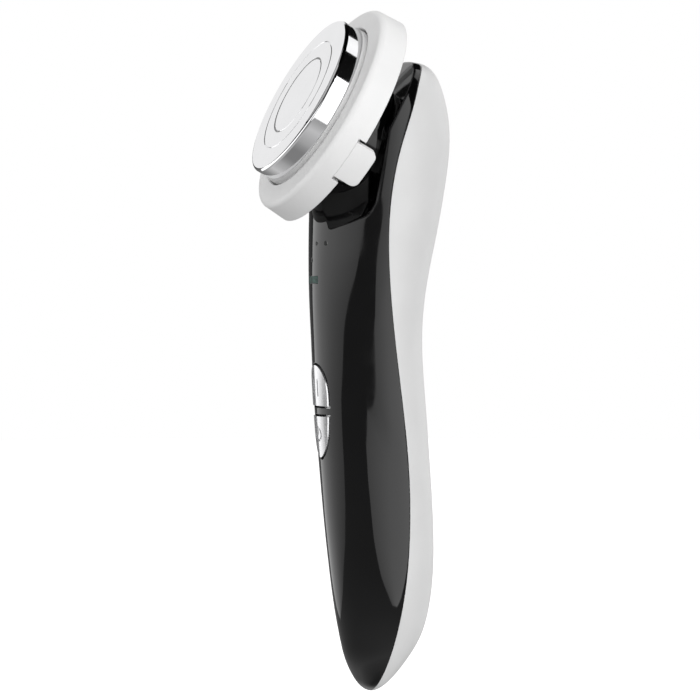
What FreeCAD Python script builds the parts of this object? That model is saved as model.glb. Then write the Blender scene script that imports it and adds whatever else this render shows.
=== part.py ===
import FreeCAD, Part
import math
import os

V = FreeCAD.Vector

# ---------------------------------------------------------------- driving dimensions (mm)
# Frame: origin at the centre of the treatment face, +Z up the handle, -Y front, X to the side.
# Depths in the head are measured behind the treatment face, along the head's axis.
HEAD_TILT = 27.7            # outward face normal above the front direction, degrees

# handle stations: height z, front y, back y, half width
STATIONS = [
    (9.1, 24.0, 31.0, 3.5),
    (8.95, 20.5, 32.6, 6.0),
    (8.5, 16.5, 34.3, 9.3),
    (7.9, 14.0, 35.2, 11.3),
    (6.7, 11.3, 36.4, 13.5),
    (3.4, 7.0, 38.2, 16.3),
    (-3.0, 5.4, 40.1, 17.6),
    (-10.5, 4.9, 40.9, 17.9),
    (-22.0, 4.4, 39.8, 17.5),
    (-35.0, 4.0, 37.5, 16.2),
    (-50.0, 4.0, 34.5, 15.0),
    (-62.0, 4.5, 33.5, 14.4),
    (-78.0, 5.3, 34.4, 14.2),
    (-95.0, 6.7, 35.7, 14.4),
    (-112.0, 8.3, 36.7, 14.3),
    (-124.0, 9.7, 36.6, 13.9),
    (-134.0, 11.1, 35.3, 12.7),
    (-141.0, 12.4, 32.9, 11.2),
    (-146.5, 13.8, 29.2, 9.3),
    (-150.5, 15.6, 25.8, 7.0),
    (-153.0, 17.3, 23.2, 4.3),
    (-154.3, 19.2, 21.2, 1.5),
]
SECTION_POINTS = 24         # points of each closed section curve
CAVITY_FIRST = 4            # first and last station used by the inside of the covers
CAVITY_LAST = 19
WALL = 2.2                  # cover wall

# side view of the line where the two covers meet: y, z
PARTING = [
    (33.4, 12.0), (32.0, 9.9), (28.9, 6.1), (24.9, -3.3), (21.1, -14.8), (18.9, -28.5),
    (18.9, -41.0), (21.0, -61.3), (23.6, -80.0), (25.3, -98.4), (25.4, -112.0),
    (23.7, -131.7), (21.1, -146.3), (19.6, -154.0), (19.4, -158.0),
]

# planes outside the handle, for cuts that pass through a skin
FRONT_OUT_Y = -2.0
BACK_OUT_Y = 45.0
SIDE_OUT_X = 30.0
REACH = 150.0

# electrode cup
PLATE_R = 22.0
PLATE_WALL_H = 4.8
PLATE_T = 1.0
RIM_ROUND = 0.9
GROOVE_R = 15.5
GROOVE_W = 0.4
GROOVE_D = 0.15
SKIRT_R = 20.5
SKIRT_END_H = 8.0
SKIRT_WALL = 1.1

# centre electrode, its insulator, the heater and its sensor
CENTRE_R = 10.6
CENTRE_SINK = 0.06
CENTRE_EDGE = 0.15
STUD_R = 1.5
STUD_END_H = 3.6
INSULATOR_W = 0.36
INSULATOR_FRONT_H = 0.15
INSULATOR_FLANGE_W = 2.0
INSULATOR_BACK_H = 1.8
HEATER_R = 16.0
HEATER_BORE_R = 2.2
HEATER_BACK_H = 3.0
SENSOR_R = 1.2
SENSOR_X = 8.0
SENSOR_BACK_H = 4.2

# seal, base cup and its screws
SEAL_R = 22.35
SEAL_END_H = 6.0
BASE_R = 22.4
BASE_BORE_R = 8.0
BASE_BACK_H = 12.6
BASE_FLOOR_T = 1.8
BASE_FLANGE_R = 26.4
BASE_FLANGE_FRONT_H = 10.9
HEAD_SCREW_RING_R = 16.4
HEAD_SCREW_ANGLES = (90.0, 210.0, 330.0)
HEAD_SCREW_R = 1.0
HEAD_SCREW_HEAD_R = 1.9
HEAD_SCREW_HEAD_T = 1.3
HEAD_SCREW_SKIN = 0.3       # neck flange left over the tip of each screw

# neck and the seat of the handle that carries it
NECK_R = 13.0
NECK_BORE_R = 10.8
NECK_FLANGE_R = 20.0
NECK_FLANGE_T = 1.8
NECK_BLEND = 2.0
NECK_END_H = 25.0
NECK_FIT = 0.02
SEAT_H = 20.5

# rib under the head and the finger scoops beside it, x and y in the head frame
RIB_TOP_H = 15.0
RIB_HALF_W = 3.4
RIB_INNER_R = 15.2
RIB_DRAFT = 32.0            # slope of the rib's flanks, degrees
SCOOP_FLOOR_H = 26.4
SCOOP_RAMP_Y = -17.5
SCOOP_OUTER_X = 16.6
SCOOP_OUTER_Y = -13.5
SCOOP_BULGE = (13.9, -22.3)
SCOOP_LOW_X = 8.0
SCOOP_LOW_Y = -27.6
SCOOP_CORNER = 3.6
SCOOP_WALL = 1.8            # cover wall left behind the scoops

# pad ring
RING_LIP_R = 23.1
RING_LIP_H = 5.85
RING_SHOULDER_R = 28.9
RING_SHOULDER_H = 7.0
RING_BACK_R = 29.35
RING_BACK_H = 13.4
RING_WALL = 1.9
RING_SNAP_R = RING_LIP_R - 0.2
RING_SNAP_W = 1.8
RING_SNAP_BACK_H = RING_LIP_H + 3.4
TAB_ANGLES = (-30.0, 210.0)
TAB_W = 10.3
TAB_END_H = 17.7
TAB_CORNER = 1.7
SLIT_W = 1.0
SLIT_DEPTH = 2.0

# keys, seen from the front
KEY_TOP_Z = -69.2
KEY_LOW_Z = -93.1
KEY_HALF_W = 5.3
KEY_SPLIT_TOP_Z = -79.7
KEY_SPLIT_LOW_Z = -82.4
KEY_GAP = 0.5
KEY_PROUD = 0.3
KEY_FLANGE = 0.9
KEY_FLANGE_T = 0.7
KEY_FLANGE_CLEAR = 0.3
KEY_STEM_R = 1.3
KEY_STEM_Y = 7.5
# right half of their outline: share of the half width, height, how far the height grows
KEY_OUTLINE = [
    (0.0, KEY_TOP_Z, 1.0), (0.46, KEY_TOP_Z - 0.72, 1.0), (0.84, -72.4, 0.4), (1.0, -78.0, 0.0),
    (0.88, -85.9, 0.0), (0.65, -90.2, -0.3), (0.0, KEY_LOW_Z, -1.0),
]
ICON_D = 0.25
ICON_LINE = 0.5
BARS_X = 1.3
BARS_TOP_Z = -72.8
BARS_LOW_Z = -77.2
POWER_MARK_R = 1.8
POWER_MARK_GAP = 0.7
POWER_MARK_RISE = 2.1

# switches under the keys: mode, power
SWITCH_Z = (-75.0, -87.1)
SWITCH_HALF_W = 3.0
SWITCH_HALF_H = 2.6
SWITCH_FRONT_Y = 10.3
SWITCH_FLOOR_Y = 12.2
PLUNGER_R = 1.6
PLUNGER_CLEAR = 0.05
PLUNGER_TOP_Y = 9.4
PLUNGER_END_Y = 11.4

# indicator windows: x, z; the wide lamp bar; and the lamps behind them
WINDOWS = [(-6.3, -38.0), (-2.7, -38.0), (2.7, -38.0), (6.3, -38.0), (0.0, -42.2)]
WINDOW_R = 0.45
WINDOW_FIT = 0.02
WINDOW_END_Y = 9.6
LAMP_Z = -47.3
LAMP_HALF_W = 3.2
LAMP_HALF_H = 0.9
LED_ROW_Z = -41.6
LED_MAX_X = 5.2
LED_HALF_W = 0.8
LED_HALF_H = 0.4
LED_T = 0.7
LAMP_LED_HALF_W = 1.2
LAMP_LED_HALF_H = 0.7
GUIDE_CLEAR = 0.2
GUIDE_T = 1.0
GUIDE_HALF_W = 7.2
GUIDE_TOP_Z = -37.2
GUIDE_MARGIN = 1.6
GUIDE_BOARD_GAP = 0.9

# main board, its posts and screws, and the chips on its back: x range, height, z range
BOARD_Y = 12.6
BOARD_T = 1.2
BOARD_BACK_Y = BOARD_Y + BOARD_T
BOARD_HALF_W = 6.1
BOARD_TOP_Z = -40.5
BOARD_LOW_Z = -115.2
BOARD_POSTS = [(x, z) for z in (-53.0, -113.0) for x in (-4.4, 4.4)]
BOARD_POST_R = 1.6
BOARD_POST_Y = 2.0
BOARD_SCREW_R = 0.8
BOARD_SCREW_L = 2.3
BOARD_SCREW_HEAD_R = 1.6
BOARD_SCREW_HEAD_T = 1.1
CONTROLLER = (-2.7, 2.7, 1.4, -52.4, -47.0)
DRIVER = (-5.8, -1.8, 1.2, -66.5, -61.5)
CHARGER = (1.8, 5.8, 1.2, -66.5, -61.5)
COIL_R = 2.6
COIL_T = 2.8
COIL_Z = -43.6

# cell, its cradle and its foam pad
CELL_R = 7.1
CELL_Y = 24.0
CELL_TOP_Z = -68.0
CELL_LOW_Z = -118.0
CELL_CAP_R = 2.6
CELL_CAP_T = 1.0
CRADLE_FIT = 0.05
CRADLE_T = 1.3
CRADLE_LOW_Z = -116.0
CRADLE_L = 46.0
CRADLE_LIP = 1.0            # how far its lips stop in front of the cell's axis
CRADLE_FEET_Z = (-108.0, -92.0, -76.0)
CRADLE_FOOT_HALF_W = 6.0
CRADLE_FOOT_HALF_T = 1.0
CRADLE_FOOT_END_Y = CELL_Y - 5.0
PAD_T = 0.75
PAD_LOW_Z = -112.0
PAD_L = 26.0
PAD_HALF_W = 3.2

# screws that close the covers
COVER_SCREW_Z = (-56.0, -125.0)
BOSS_R = 3.0
BOSS_FRONT_Y = 6.0
BOSS_JOIN_Y = 20.0
BOSS_BACK_Y = 38.0
SCREW_R = 1.1
SCREW_SEAT_Y = 29.5
SCREW_GRIP = 6.0
SCREW_HEAD_R = 2.1
SCREW_HEAD_T = 1.5
SCREW_SINK_R = 2.3
CROSS_HALF_W = 0.3
CROSS_REACH = 1.5
CROSS_DEPTH = 0.6

# contact strip down the back
STRIP_HALF_W = 3.6
STRIP_T = 0.8
STRIP_FIT = 0.05
STRIP_TOP_Z = -49.0
STRIP_LOW_Z = -131.0
STRIP_INSIDE_Y = 26.0

# charging inlet
SOCKET_Z = -136.0
SOCKET_W = 7.5
SOCKET_H = 2.7
SOCKET_CLEAR = 0.4
SOCKET_FRONT_Y = 28.6
SOCKET_FLOOR_Y = 29.4
SOCKET_MOUTH_Y = 33.6
SOCKET_WALL = 0.35
PORT_FROM_Y = 26.0
TONGUE_HALF_W = 1.8
TONGUE_T = 0.6
TONGUE_END_Y = 33.4
CHARGE_BOARD_HALF_W = 4.2
CHARGE_BOARD_T = 1.0
CHARGE_BOARD_Y = (19.0, 30.8)

# vibration motor, its weight and its holder
MOTOR_Y = 32.5
MOTOR_R = 3.5
MOTOR_LOW_Z = -30.0
MOTOR_TOP_Z = -16.0
SHAFT_R = 0.5
SHAFT_IN_MOTOR = 5.8
SHAFT_L = 10.5
SHAFT_BORE_R = 0.55
SHAFT_BORE_L = 6.0
WEIGHT_R = 3.1
WEIGHT_T = 3.5
WEIGHT_GAP = 1.2
WEIGHT_HUB_R = 1.3
HOLDER_HALF_W = 5.2
HOLDER_FRONT_Y = MOTOR_Y - 1.5
HOLDER_Z = (-28.5, -18.0)


# ---------------------------------------------------------------- helpers
def head_place(shape):
    """Turn a shape built about +Z (face at z = 0, depth along -Z) into the head position."""
    placed = shape.copy()
    placed.rotate(V(0, 0, 0), V(1, 0, 0), 90.0 - HEAD_TILT)
    return placed


def path_wire(start, steps):
    """Closed wire of (x, z) points on y = 0; a step is a point or (middle, end) of an arc."""
    edges = []
    last = V(start[0], 0, start[1])
    for step in steps + [start]:
        if isinstance(step[0], tuple):
            mid = V(step[0][0], 0, step[0][1])
            end = V(step[1][0], 0, step[1][1])
            edges.append(Part.Arc(last, mid, end).toShape())
        else:
            end = V(step[0], 0, step[1])
            if end.distanceToPoint(last) > 1e-6:
                edges.append(Part.makeLine(last, end))
        last = end
    return Part.Wire(edges)


def polygon_face(points):
    return Part.Face(Part.makePolygon(points + points[:1]))


def turned(start, steps):
    """Body of revolution about the head axis from (radius, depth) points."""
    flip = lambda p: (p[0], -p[1])
    turned_steps = []
    for step in steps:
        if isinstance(step[0], tuple):
            turned_steps.append((flip(step[0]), flip(step[1])))
        else:
            turned_steps.append(flip(step))
    face = Part.Face(path_wire(flip(start), turned_steps))
    return head_place(face.revolve(V(0, 0, 0), V(0, 0, 1), 360))


def head_cylinder(radius, depth_from, depth_to, x=0.0, y=0.0):
    height = depth_to - depth_from
    return head_place(Part.makeCylinder(radius, height, V(x, y, -depth_to)))


def box(x0, x1, y0, y1, z0, z1):
    return Part.makeBox(x1 - x0, y1 - y0, z1 - z0, V(x0, y0, z0))


def y_cylinder(radius, x, z, y0, y1):
    return Part.makeCylinder(radius, y1 - y0, V(x, y0, z), V(0, 1, 0))


def z_cylinder(radius, y, z0, height):
    return Part.makeCylinder(radius, height, V(0, y, z0))


def nearer_than(depth):
    """Everything nearer the treatment face than depth."""
    return head_place(Part.makeBox(2 * REACH, 2 * REACH, REACH, V(-REACH, -REACH, -depth)))


def behind(depth):
    """Everything further behind the treatment face than depth."""
    return head_place(Part.makeBox(2 * REACH, 2 * REACH, REACH, V(-REACH, -REACH, -depth - REACH)))


def front_side():
    """Everything in front of the parting line."""
    points = [V(0, y, z) for y, z in PARTING]
    curve = Part.BSplineCurve()
    curve.interpolate(points)
    top = points[0]
    low = points[-1]
    far_low = V(0, -2 * top.y, low.z)
    far_top = V(0, -2 * top.y, top.z)
    edges = [curve.toShape(), Part.makeLine(low, far_low)]
    edges += [Part.makeLine(far_low, far_top), Part.makeLine(far_top, top)]
    face = Part.Face(Part.Wire(edges))
    face.translate(V(-SIDE_OUT_X, 0, 0))
    return face.extrude(V(2 * SIDE_OUT_X, 0, 0))


# ---------------------------------------------------------------- handle form
def section(z, front, back, half_width, grow):
    """Closed oval at height z, grown outward by grow."""
    centre = (front + back) / 2
    half_depth = (back - front) / 2 + grow
    points = []
    for i in range(SECTION_POINTS):
        angle = 2 * math.pi * i / SECTION_POINTS
        x = (half_width + grow) * math.cos(angle)
        y = centre + half_depth * math.sin(angle)
        points.append(V(x, y, z))
    curve = Part.BSplineCurve()
    curve.interpolate(Points=points, PeriodicFlag=True)
    return Part.Wire([curve.toShape()])


def handle_solid(grow=0.0, first=0, last=None):
    rows = STATIONS[first:last]
    wires = [section(z, front, back, width, grow) for z, front, back, width in rows]
    return Part.makeLoft(wires, True, False)


def rib_prism(half, end_h, y_from, y_to):
    """Front rib in the head frame, its flanks sloping outward from its top to depth end_h."""
    base = half + (end_h - RIB_TOP_H) * math.tan(math.radians(RIB_DRAFT))
    outline = [V(-half, y_from, -RIB_TOP_H), V(half, y_from, -RIB_TOP_H)]
    outline += [V(base, y_from, -end_h), V(-base, y_from, -end_h)]
    return polygon_face(outline).extrude(V(0, y_to - y_from, 0))


def scoop(grow=0.0):
    """Finger scoops below the two ring tabs, one each side of the front rib."""
    inner = RIB_HALF_W - grow
    outer = SCOOP_OUTER_X + grow
    low = SCOOP_LOW_Y - grow
    bulge_x, bulge_y = SCOOP_BULGE
    corner_mid = (inner + SCOOP_CORNER / 3, low + SCOOP_CORNER / 4)
    side_mid = (bulge_x + 0.7 * grow, bulge_y - 0.7 * grow)
    steps = [
        (inner, low + SCOOP_CORNER + grow),
        (corner_mid, (SCOOP_LOW_X, low)),
        (side_mid, (outer, SCOOP_OUTER_Y)),
        (outer + 3.0, 0.0),
    ]
    face = Part.Face(path_wire((inner, 0.0), steps))
    face.rotate(V(0, 0, 0), V(1, 0, 0), -90)
    far = -40.0
    outline = face.extrude(V(0, 0, far))
    # the floor rises from the deepest part back to the neck seat
    floor = SCOOP_FLOOR_H + grow
    side = [V(0, 0, 0), V(0, 0, -SEAT_H - grow), V(0, SCOOP_RAMP_Y, -floor), V(0, far, -floor), V(0, far, 0)]
    ramp = polygon_face(side).extrude(V(SIDE_OUT_X, 0, 0))
    right = head_place(outline.common(ramp).cut(rib_prism(inner, floor, 0, 2 * far)))
    left = right.mirror(V(0, 0, 0), V(1, 0, 0))
    return right.fuse(left)


def outer_form():
    """Outside of the two closed covers, with the neck seat, the front rib and the scoops."""
    rib_zone = rib_prism(RIB_HALF_W, SEAT_H, -RIB_INNER_R, -2 * SEAT_H)
    seat_tool = nearer_than(SEAT_H).cut(head_place(rib_zone))
    return handle_solid().cut(seat_tool).cut(scoop())


def inner_form():
    cavity = handle_solid(-WALL, CAVITY_FIRST, CAVITY_LAST + 1)
    return cavity.common(behind(SEAT_H + WALL)).cut(scoop(SCOOP_WALL))


# ---------------------------------------------------------------- covers
def window_prisms(grow=0.0):
    """The round indicator windows and the wide lamp bar, through the front cover."""
    prisms = [y_cylinder(WINDOW_R + grow, x, z, FRONT_OUT_Y, WINDOW_END_Y) for x, z in WINDOWS]
    half_w = LAMP_HALF_W + grow
    half_h = LAMP_HALF_H + grow
    low = LAMP_Z - half_h
    prisms.append(box(-half_w, half_w, FRONT_OUT_Y, WINDOW_END_Y, low, LAMP_Z + half_h))
    return prisms


def make_front_cover(outer, inner, side):
    cover = outer.copy().cut(inner.copy()).common(side.copy())
    for z in COVER_SCREW_Z:
        boss = y_cylinder(BOSS_R, 0, z, BOSS_FRONT_Y, BOSS_JOIN_Y)
        cover = cover.fuse(boss.common(outer.copy()))
    for x, z in BOARD_POSTS:
        post = y_cylinder(BOARD_POST_R, x, z, BOARD_POST_Y, BOARD_Y)
        cover = cover.fuse(post.common(outer.copy()))
        cover = cover.cut(y_cylinder(BOARD_SCREW_R, x, z, BOARD_Y - BOARD_SCREW_L, BOARD_Y))
    pilot_end = BOSS_JOIN_Y - SCREW_GRIP - 0.5
    for z in COVER_SCREW_Z:
        cover = cover.cut(y_cylinder(SCREW_R, 0, z, pilot_end, BOSS_JOIN_Y))
    cover = cover.cut(head_cylinder(NECK_R + NECK_FIT, 0, SEAT_H + 3 * WALL))
    cover = cover.cut(key_prism(True, KEY_GAP))
    cover = cover.cut(key_prism(False, KEY_GAP))
    for prism in window_prisms():
        cover = cover.cut(prism)
    return cover


def strip_prism(grow=0.0):
    """Long round-ended zone of the contact strip, through the back."""
    half = STRIP_HALF_W + grow
    low = STRIP_LOW_Z + STRIP_HALF_W
    top = STRIP_TOP_Z - STRIP_HALF_W
    zone = box(-half, half, STRIP_INSIDE_Y, BACK_OUT_Y, low, top)
    for z in (low, top):
        zone = zone.fuse(y_cylinder(half, 0, z, STRIP_INSIDE_Y, BACK_OUT_Y))
    return zone


def make_hand_contact(skin, under_strip):
    return skin.cut(under_strip).common(strip_prism())


def make_rear_cover(outer, inner, side, under_strip):
    cover = outer.copy().cut(inner.copy()).cut(side.copy())
    for z in COVER_SCREW_Z:
        boss = y_cylinder(BOSS_R, 0, z, BOSS_JOIN_Y, BOSS_BACK_Y)
        cover = cover.fuse(boss.common(outer.copy()))
    cover = cover.cut(strip_prism(STRIP_FIT).cut(under_strip))
    for z in COVER_SCREW_Z:
        cover = cover.cut(y_cylinder(SCREW_R, 0, z, BOSS_JOIN_Y - 1, BACK_OUT_Y))
        cover = cover.cut(y_cylinder(SCREW_SINK_R, 0, z, SCREW_SEAT_Y, BACK_OUT_Y))
    half_w = SOCKET_W / 2 + SOCKET_CLEAR
    half_h = SOCKET_H / 2 + SOCKET_CLEAR
    port = box(-half_w, half_w, PORT_FROM_Y, BACK_OUT_Y, SOCKET_Z - half_h, SOCKET_Z + half_h)
    return cover.cut(port).removeSplitter()


# ---------------------------------------------------------------- keys and switches
def key_outline(grow=0.0):
    """Almond outline of the key pair, through the front: rounded top, pointed bottom."""
    half = KEY_HALF_W + grow
    right = [V(share * half, 0, z + spread * grow) for share, z, spread in KEY_OUTLINE]
    left = [V(-p.x, 0, p.z) for p in right[1:-1]][::-1]
    curve = Part.BSplineCurve()
    curve.interpolate(Points=right + left, PeriodicFlag=True)
    face = Part.Face(Part.Wire([curve.toShape()]))
    return face.extrude(V(0, BOSS_JOIN_Y, 0))


def key_prism(upper, grow=0.0):
    """One half of the almond, above or below the bridge between the keys."""
    beyond = 10.0
    if upper:
        z_range = (KEY_SPLIT_TOP_Z - grow, KEY_TOP_Z + beyond)
    else:
        z_range = (KEY_LOW_Z - beyond, KEY_SPLIT_LOW_Z + grow)
    return key_outline(grow).common(box(-SIDE_OUT_X, SIDE_OUT_X, FRONT_OUT_Y, CELL_Y, *z_range))


def icon_bars():
    """Two upright bars of the mode key."""
    bars = []
    for x in (-BARS_X, BARS_X):
        bars.append(box(x - ICON_LINE / 2, x + ICON_LINE / 2, 0, BOSS_JOIN_Y, BARS_LOW_Z, BARS_TOP_Z))
    return bars


def icon_power():
    """Open ring with an upright bar."""
    z = SWITCH_Z[1]
    ring = y_cylinder(POWER_MARK_R, 0, z, 0, BOSS_JOIN_Y)
    ring = ring.cut(y_cylinder(POWER_MARK_R - ICON_LINE, 0, z, 0, BOSS_JOIN_Y))
    gap = box(-POWER_MARK_GAP, POWER_MARK_GAP, 0, BOSS_JOIN_Y, z, z + 2 * POWER_MARK_R)
    bar = box(-ICON_LINE / 2, ICON_LINE / 2, 0, BOSS_JOIN_Y, z, z + POWER_MARK_RISE)
    return [ring.cut(gap), bar]


def make_key(upper, icons):
    """Cap flush with the skin, flange that keeps it behind the cover, and stem."""
    deep = WALL + KEY_FLANGE_CLEAR
    core = handle_solid(-deep - KEY_FLANGE_T)
    key = handle_solid(KEY_PROUD).cut(core).common(key_prism(upper))
    flange = handle_solid(-deep).cut(core).common(key_prism(upper, KEY_FLANGE))
    z = SWITCH_Z[0] if upper else SWITCH_Z[1]
    stem = y_cylinder(KEY_STEM_R, 0, z, KEY_STEM_Y, PLUNGER_TOP_Y)
    key = key.fuse(flange).fuse(stem)
    mark_floor = handle_solid(KEY_PROUD - ICON_D)
    for icon in icons:
        key = key.cut(icon.cut(mark_floor))
    return key.removeSplitter()


def make_plunger(z):
    return y_cylinder(PLUNGER_R, 0, z, PLUNGER_TOP_Y, PLUNGER_END_Y)


def make_tact_switches():
    switches = []
    for z in SWITCH_Z:
        low = z - SWITCH_HALF_H
        case = box(-SWITCH_HALF_W, SWITCH_HALF_W, SWITCH_FRONT_Y, BOARD_Y, low, z + SWITCH_HALF_H)
        bore = y_cylinder(PLUNGER_R + PLUNGER_CLEAR, 0, z, PLUNGER_TOP_Y, SWITCH_FLOOR_Y)
        switches.append(case.cut(bore))
    return switches


# ---------------------------------------------------------------- boards, cell, inlet
def make_main_board():
    board = box(-BOARD_HALF_W, BOARD_HALF_W, BOARD_Y, BOARD_BACK_Y, BOARD_LOW_Z, BOARD_TOP_Z)
    board = board.cut(y_cylinder(BOSS_R + 0.3, 0, COVER_SCREW_Z[0], FRONT_OUT_Y, BACK_OUT_Y))
    for x, z in BOARD_POSTS:
        board = board.cut(y_cylinder(BOARD_SCREW_R + 0.05, x, z, FRONT_OUT_Y, BACK_OUT_Y))
    return board


def make_board_screws():
    screws = []
    slot_y = BOARD_BACK_Y + 0.7
    for x, z in BOARD_POSTS:
        shank = y_cylinder(BOARD_SCREW_R, x, z, BOARD_Y - BOARD_SCREW_L + 0.2, BOARD_BACK_Y)
        head = y_cylinder(BOARD_SCREW_HEAD_R, x, z, BOARD_BACK_Y, BOARD_BACK_Y + BOARD_SCREW_HEAD_T)
        slot = box(x - 1.2, x + 1.2, slot_y, BACK_OUT_Y, z - 0.2, z + 0.2)
        screws.append(shank.fuse(head).cut(slot).removeSplitter())
    return screws


def make_chips():
    """Controller, driver, charger and step-up coil on the back of the board."""
    chips = []
    for x0, x1, height, z0, z1 in (CONTROLLER, DRIVER, CHARGER):
        chips.append(box(x0, x1, BOARD_BACK_Y, BOARD_BACK_Y + height, z0, z1))
    chips.append(y_cylinder(COIL_R, 0, COIL_Z, BOARD_BACK_Y, BOARD_BACK_Y + COIL_T))
    return chips


def make_lamp(x, z, half_w, half_h):
    return box(x - half_w, x + half_w, BOARD_Y - LED_T, BOARD_Y, z - half_h, z + half_h)


def make_leds():
    lamps = []
    for x, z in WINDOWS:
        lamp_x = math.copysign(min(abs(x), LED_MAX_X), x)
        lamps.append(make_lamp(lamp_x, min(z, LED_ROW_Z), LED_HALF_W, LED_HALF_H))
    lamps.append(make_lamp(0.0, LAMP_Z, LAMP_LED_HALF_W, LAMP_LED_HALF_H))
    return lamps


def make_light_guide(outer):
    """Clear windows on one curved carrier behind the front cover."""
    near = -WALL - GUIDE_CLEAR
    back_y = BOARD_Y - GUIDE_BOARD_GAP
    carrier_zone = box(-GUIDE_HALF_W, GUIDE_HALF_W, FRONT_OUT_Y, back_y, LAMP_Z - GUIDE_MARGIN, GUIDE_TOP_Z)
    guide = handle_solid(near).cut(handle_solid(near - GUIDE_T)).common(carrier_zone)
    inside_carrier = handle_solid(near - GUIDE_T / 2)
    for prism in window_prisms(-WINDOW_FIT):
        pin = prism.common(outer.copy()).cut(inside_carrier)
        guide = guide.fuse(pin)
    return guide.cut(scoop(WALL)).removeSplitter()


def make_cell():
    cell = z_cylinder(CELL_R, CELL_Y, CELL_LOW_Z, CELL_TOP_Z - CELL_LOW_Z)
    return cell.fuse(z_cylinder(CELL_CAP_R, CELL_Y, CELL_TOP_Z, CELL_CAP_T))


def make_cradle():
    """Trough holding the cell, standing on the board."""
    half_w = CELL_R + CRADLE_T
    trough = z_cylinder(half_w, CELL_Y, CRADLE_LOW_Z, CRADLE_L)
    top = CRADLE_LOW_Z + CRADLE_L
    trough = trough.common(box(-half_w, half_w, 0, CELL_Y - CRADLE_LIP, CRADLE_LOW_Z, top))
    for z in CRADLE_FEET_Z:
        low = z - CRADLE_FOOT_HALF_T
        high = z + CRADLE_FOOT_HALF_T
        foot = box(-CRADLE_FOOT_HALF_W, CRADLE_FOOT_HALF_W, BOARD_BACK_Y, CRADLE_FOOT_END_Y, low, high)
        trough = trough.fuse(foot)
    hollow = z_cylinder(CELL_R + CRADLE_FIT, CELL_Y, CRADLE_LOW_Z - 1, CRADLE_L + 2)
    return trough.cut(hollow).removeSplitter()


def make_cell_pad():
    """Foam strip between cell and rear cover."""
    top = PAD_LOW_Z + PAD_L
    pad = z_cylinder(CELL_R + PAD_T, CELL_Y, PAD_LOW_Z, PAD_L)
    pad = pad.cut(z_cylinder(CELL_R, CELL_Y, PAD_LOW_Z - 1, PAD_L + 2))
    return pad.common(box(-PAD_HALF_W, PAD_HALF_W, CELL_Y, BACK_OUT_Y, PAD_LOW_Z, top))


def make_charge_board():
    top = SOCKET_Z - SOCKET_H / 2
    return box(-CHARGE_BOARD_HALF_W, CHARGE_BOARD_HALF_W, *CHARGE_BOARD_Y, top - CHARGE_BOARD_T, top)


def make_usb_socket():
    half_w = SOCKET_W / 2
    low = SOCKET_Z - SOCKET_H / 2
    high = SOCKET_Z + SOCKET_H / 2
    shell = box(-half_w, half_w, SOCKET_FRONT_Y, SOCKET_MOUTH_Y, low, high)
    inside_w = half_w - SOCKET_WALL
    cavity = box(-inside_w, inside_w, SOCKET_FLOOR_Y, BACK_OUT_Y, low + SOCKET_WALL, high - SOCKET_WALL)
    tongue_z = SOCKET_Z - 0.1
    tongue = box(-TONGUE_HALF_W, TONGUE_HALF_W, SOCKET_FLOOR_Y, TONGUE_END_Y, tongue_z, tongue_z + TONGUE_T)
    return shell.cut(cavity).fuse(tongue)


def make_cover_screws():
    screws = []
    head_y = SCREW_SEAT_Y + SCREW_HEAD_T
    cross_y = head_y - CROSS_DEPTH
    for z in COVER_SCREW_Z:
        shank = y_cylinder(SCREW_R, 0, z, BOSS_JOIN_Y - SCREW_GRIP, SCREW_SEAT_Y)
        screw = shank.fuse(y_cylinder(SCREW_HEAD_R, 0, z, SCREW_SEAT_Y, head_y))
        for half_w, half_h in ((CROSS_REACH, CROSS_HALF_W), (CROSS_HALF_W, CROSS_REACH)):
            screw = screw.cut(box(-half_w, half_w, cross_y, BACK_OUT_Y, z - half_h, z + half_h))
        screws.append(screw.removeSplitter())
    return screws


# ---------------------------------------------------------------- head
def make_electrode_plate():
    """Polished cup: face with its groove, rounded rim, wall, and the skirt that holds the seal."""
    inside_r = CENTRE_R + INSULATOR_W
    round_mid = RIM_ROUND * (1 - math.sqrt(0.5))
    steps = [
        (GROOVE_R - GROOVE_W / 2, 0.0),
        (GROOVE_R - GROOVE_W / 4, GROOVE_D),
        (GROOVE_R + GROOVE_W / 4, GROOVE_D),
        (GROOVE_R + GROOVE_W / 2, 0.0),
        (PLATE_R - RIM_ROUND, 0.0),
        ((PLATE_R - round_mid, round_mid), (PLATE_R, RIM_ROUND)),
        (PLATE_R, PLATE_WALL_H),
        (SKIRT_R, PLATE_WALL_H),
        (SKIRT_R, SKIRT_END_H),
        (SKIRT_R - SKIRT_WALL, SKIRT_END_H),
        (SKIRT_R - SKIRT_WALL, PLATE_T),
        (inside_r, PLATE_T),
    ]
    return turned((inside_r, 0.0), steps)


def make_centre_electrode():
    steps = [
        (CENTRE_R - CENTRE_EDGE, CENTRE_SINK),
        (CENTRE_R, CENTRE_SINK + CENTRE_EDGE),
        (CENTRE_R, PLATE_T),
        (0, PLATE_T),
    ]
    disc = turned((0, CENTRE_SINK), steps)
    return disc.fuse(head_cylinder(STUD_R, PLATE_T, STUD_END_H)).removeSplitter()


def make_insulator():
    outer = CENTRE_R + INSULATOR_W
    steps = [
        (outer, INSULATOR_FRONT_H),
        (outer, PLATE_T),
        (outer + INSULATOR_FLANGE_W, PLATE_T),
        (outer + INSULATOR_FLANGE_W, INSULATOR_BACK_H),
        (STUD_R, INSULATOR_BACK_H),
        (STUD_R, PLATE_T),
        (CENTRE_R, PLATE_T),
    ]
    return turned((CENTRE_R, INSULATOR_FRONT_H), steps)


def make_heater():
    disc = head_cylinder(HEATER_R, INSULATOR_BACK_H, HEATER_BACK_H)
    return disc.cut(head_cylinder(HEATER_BORE_R, 0, SENSOR_BACK_H)).removeSplitter()


def make_heat_sensor():
    return head_cylinder(SENSOR_R, HEATER_BACK_H, SENSOR_BACK_H, SENSOR_X, 0.0)


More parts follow.
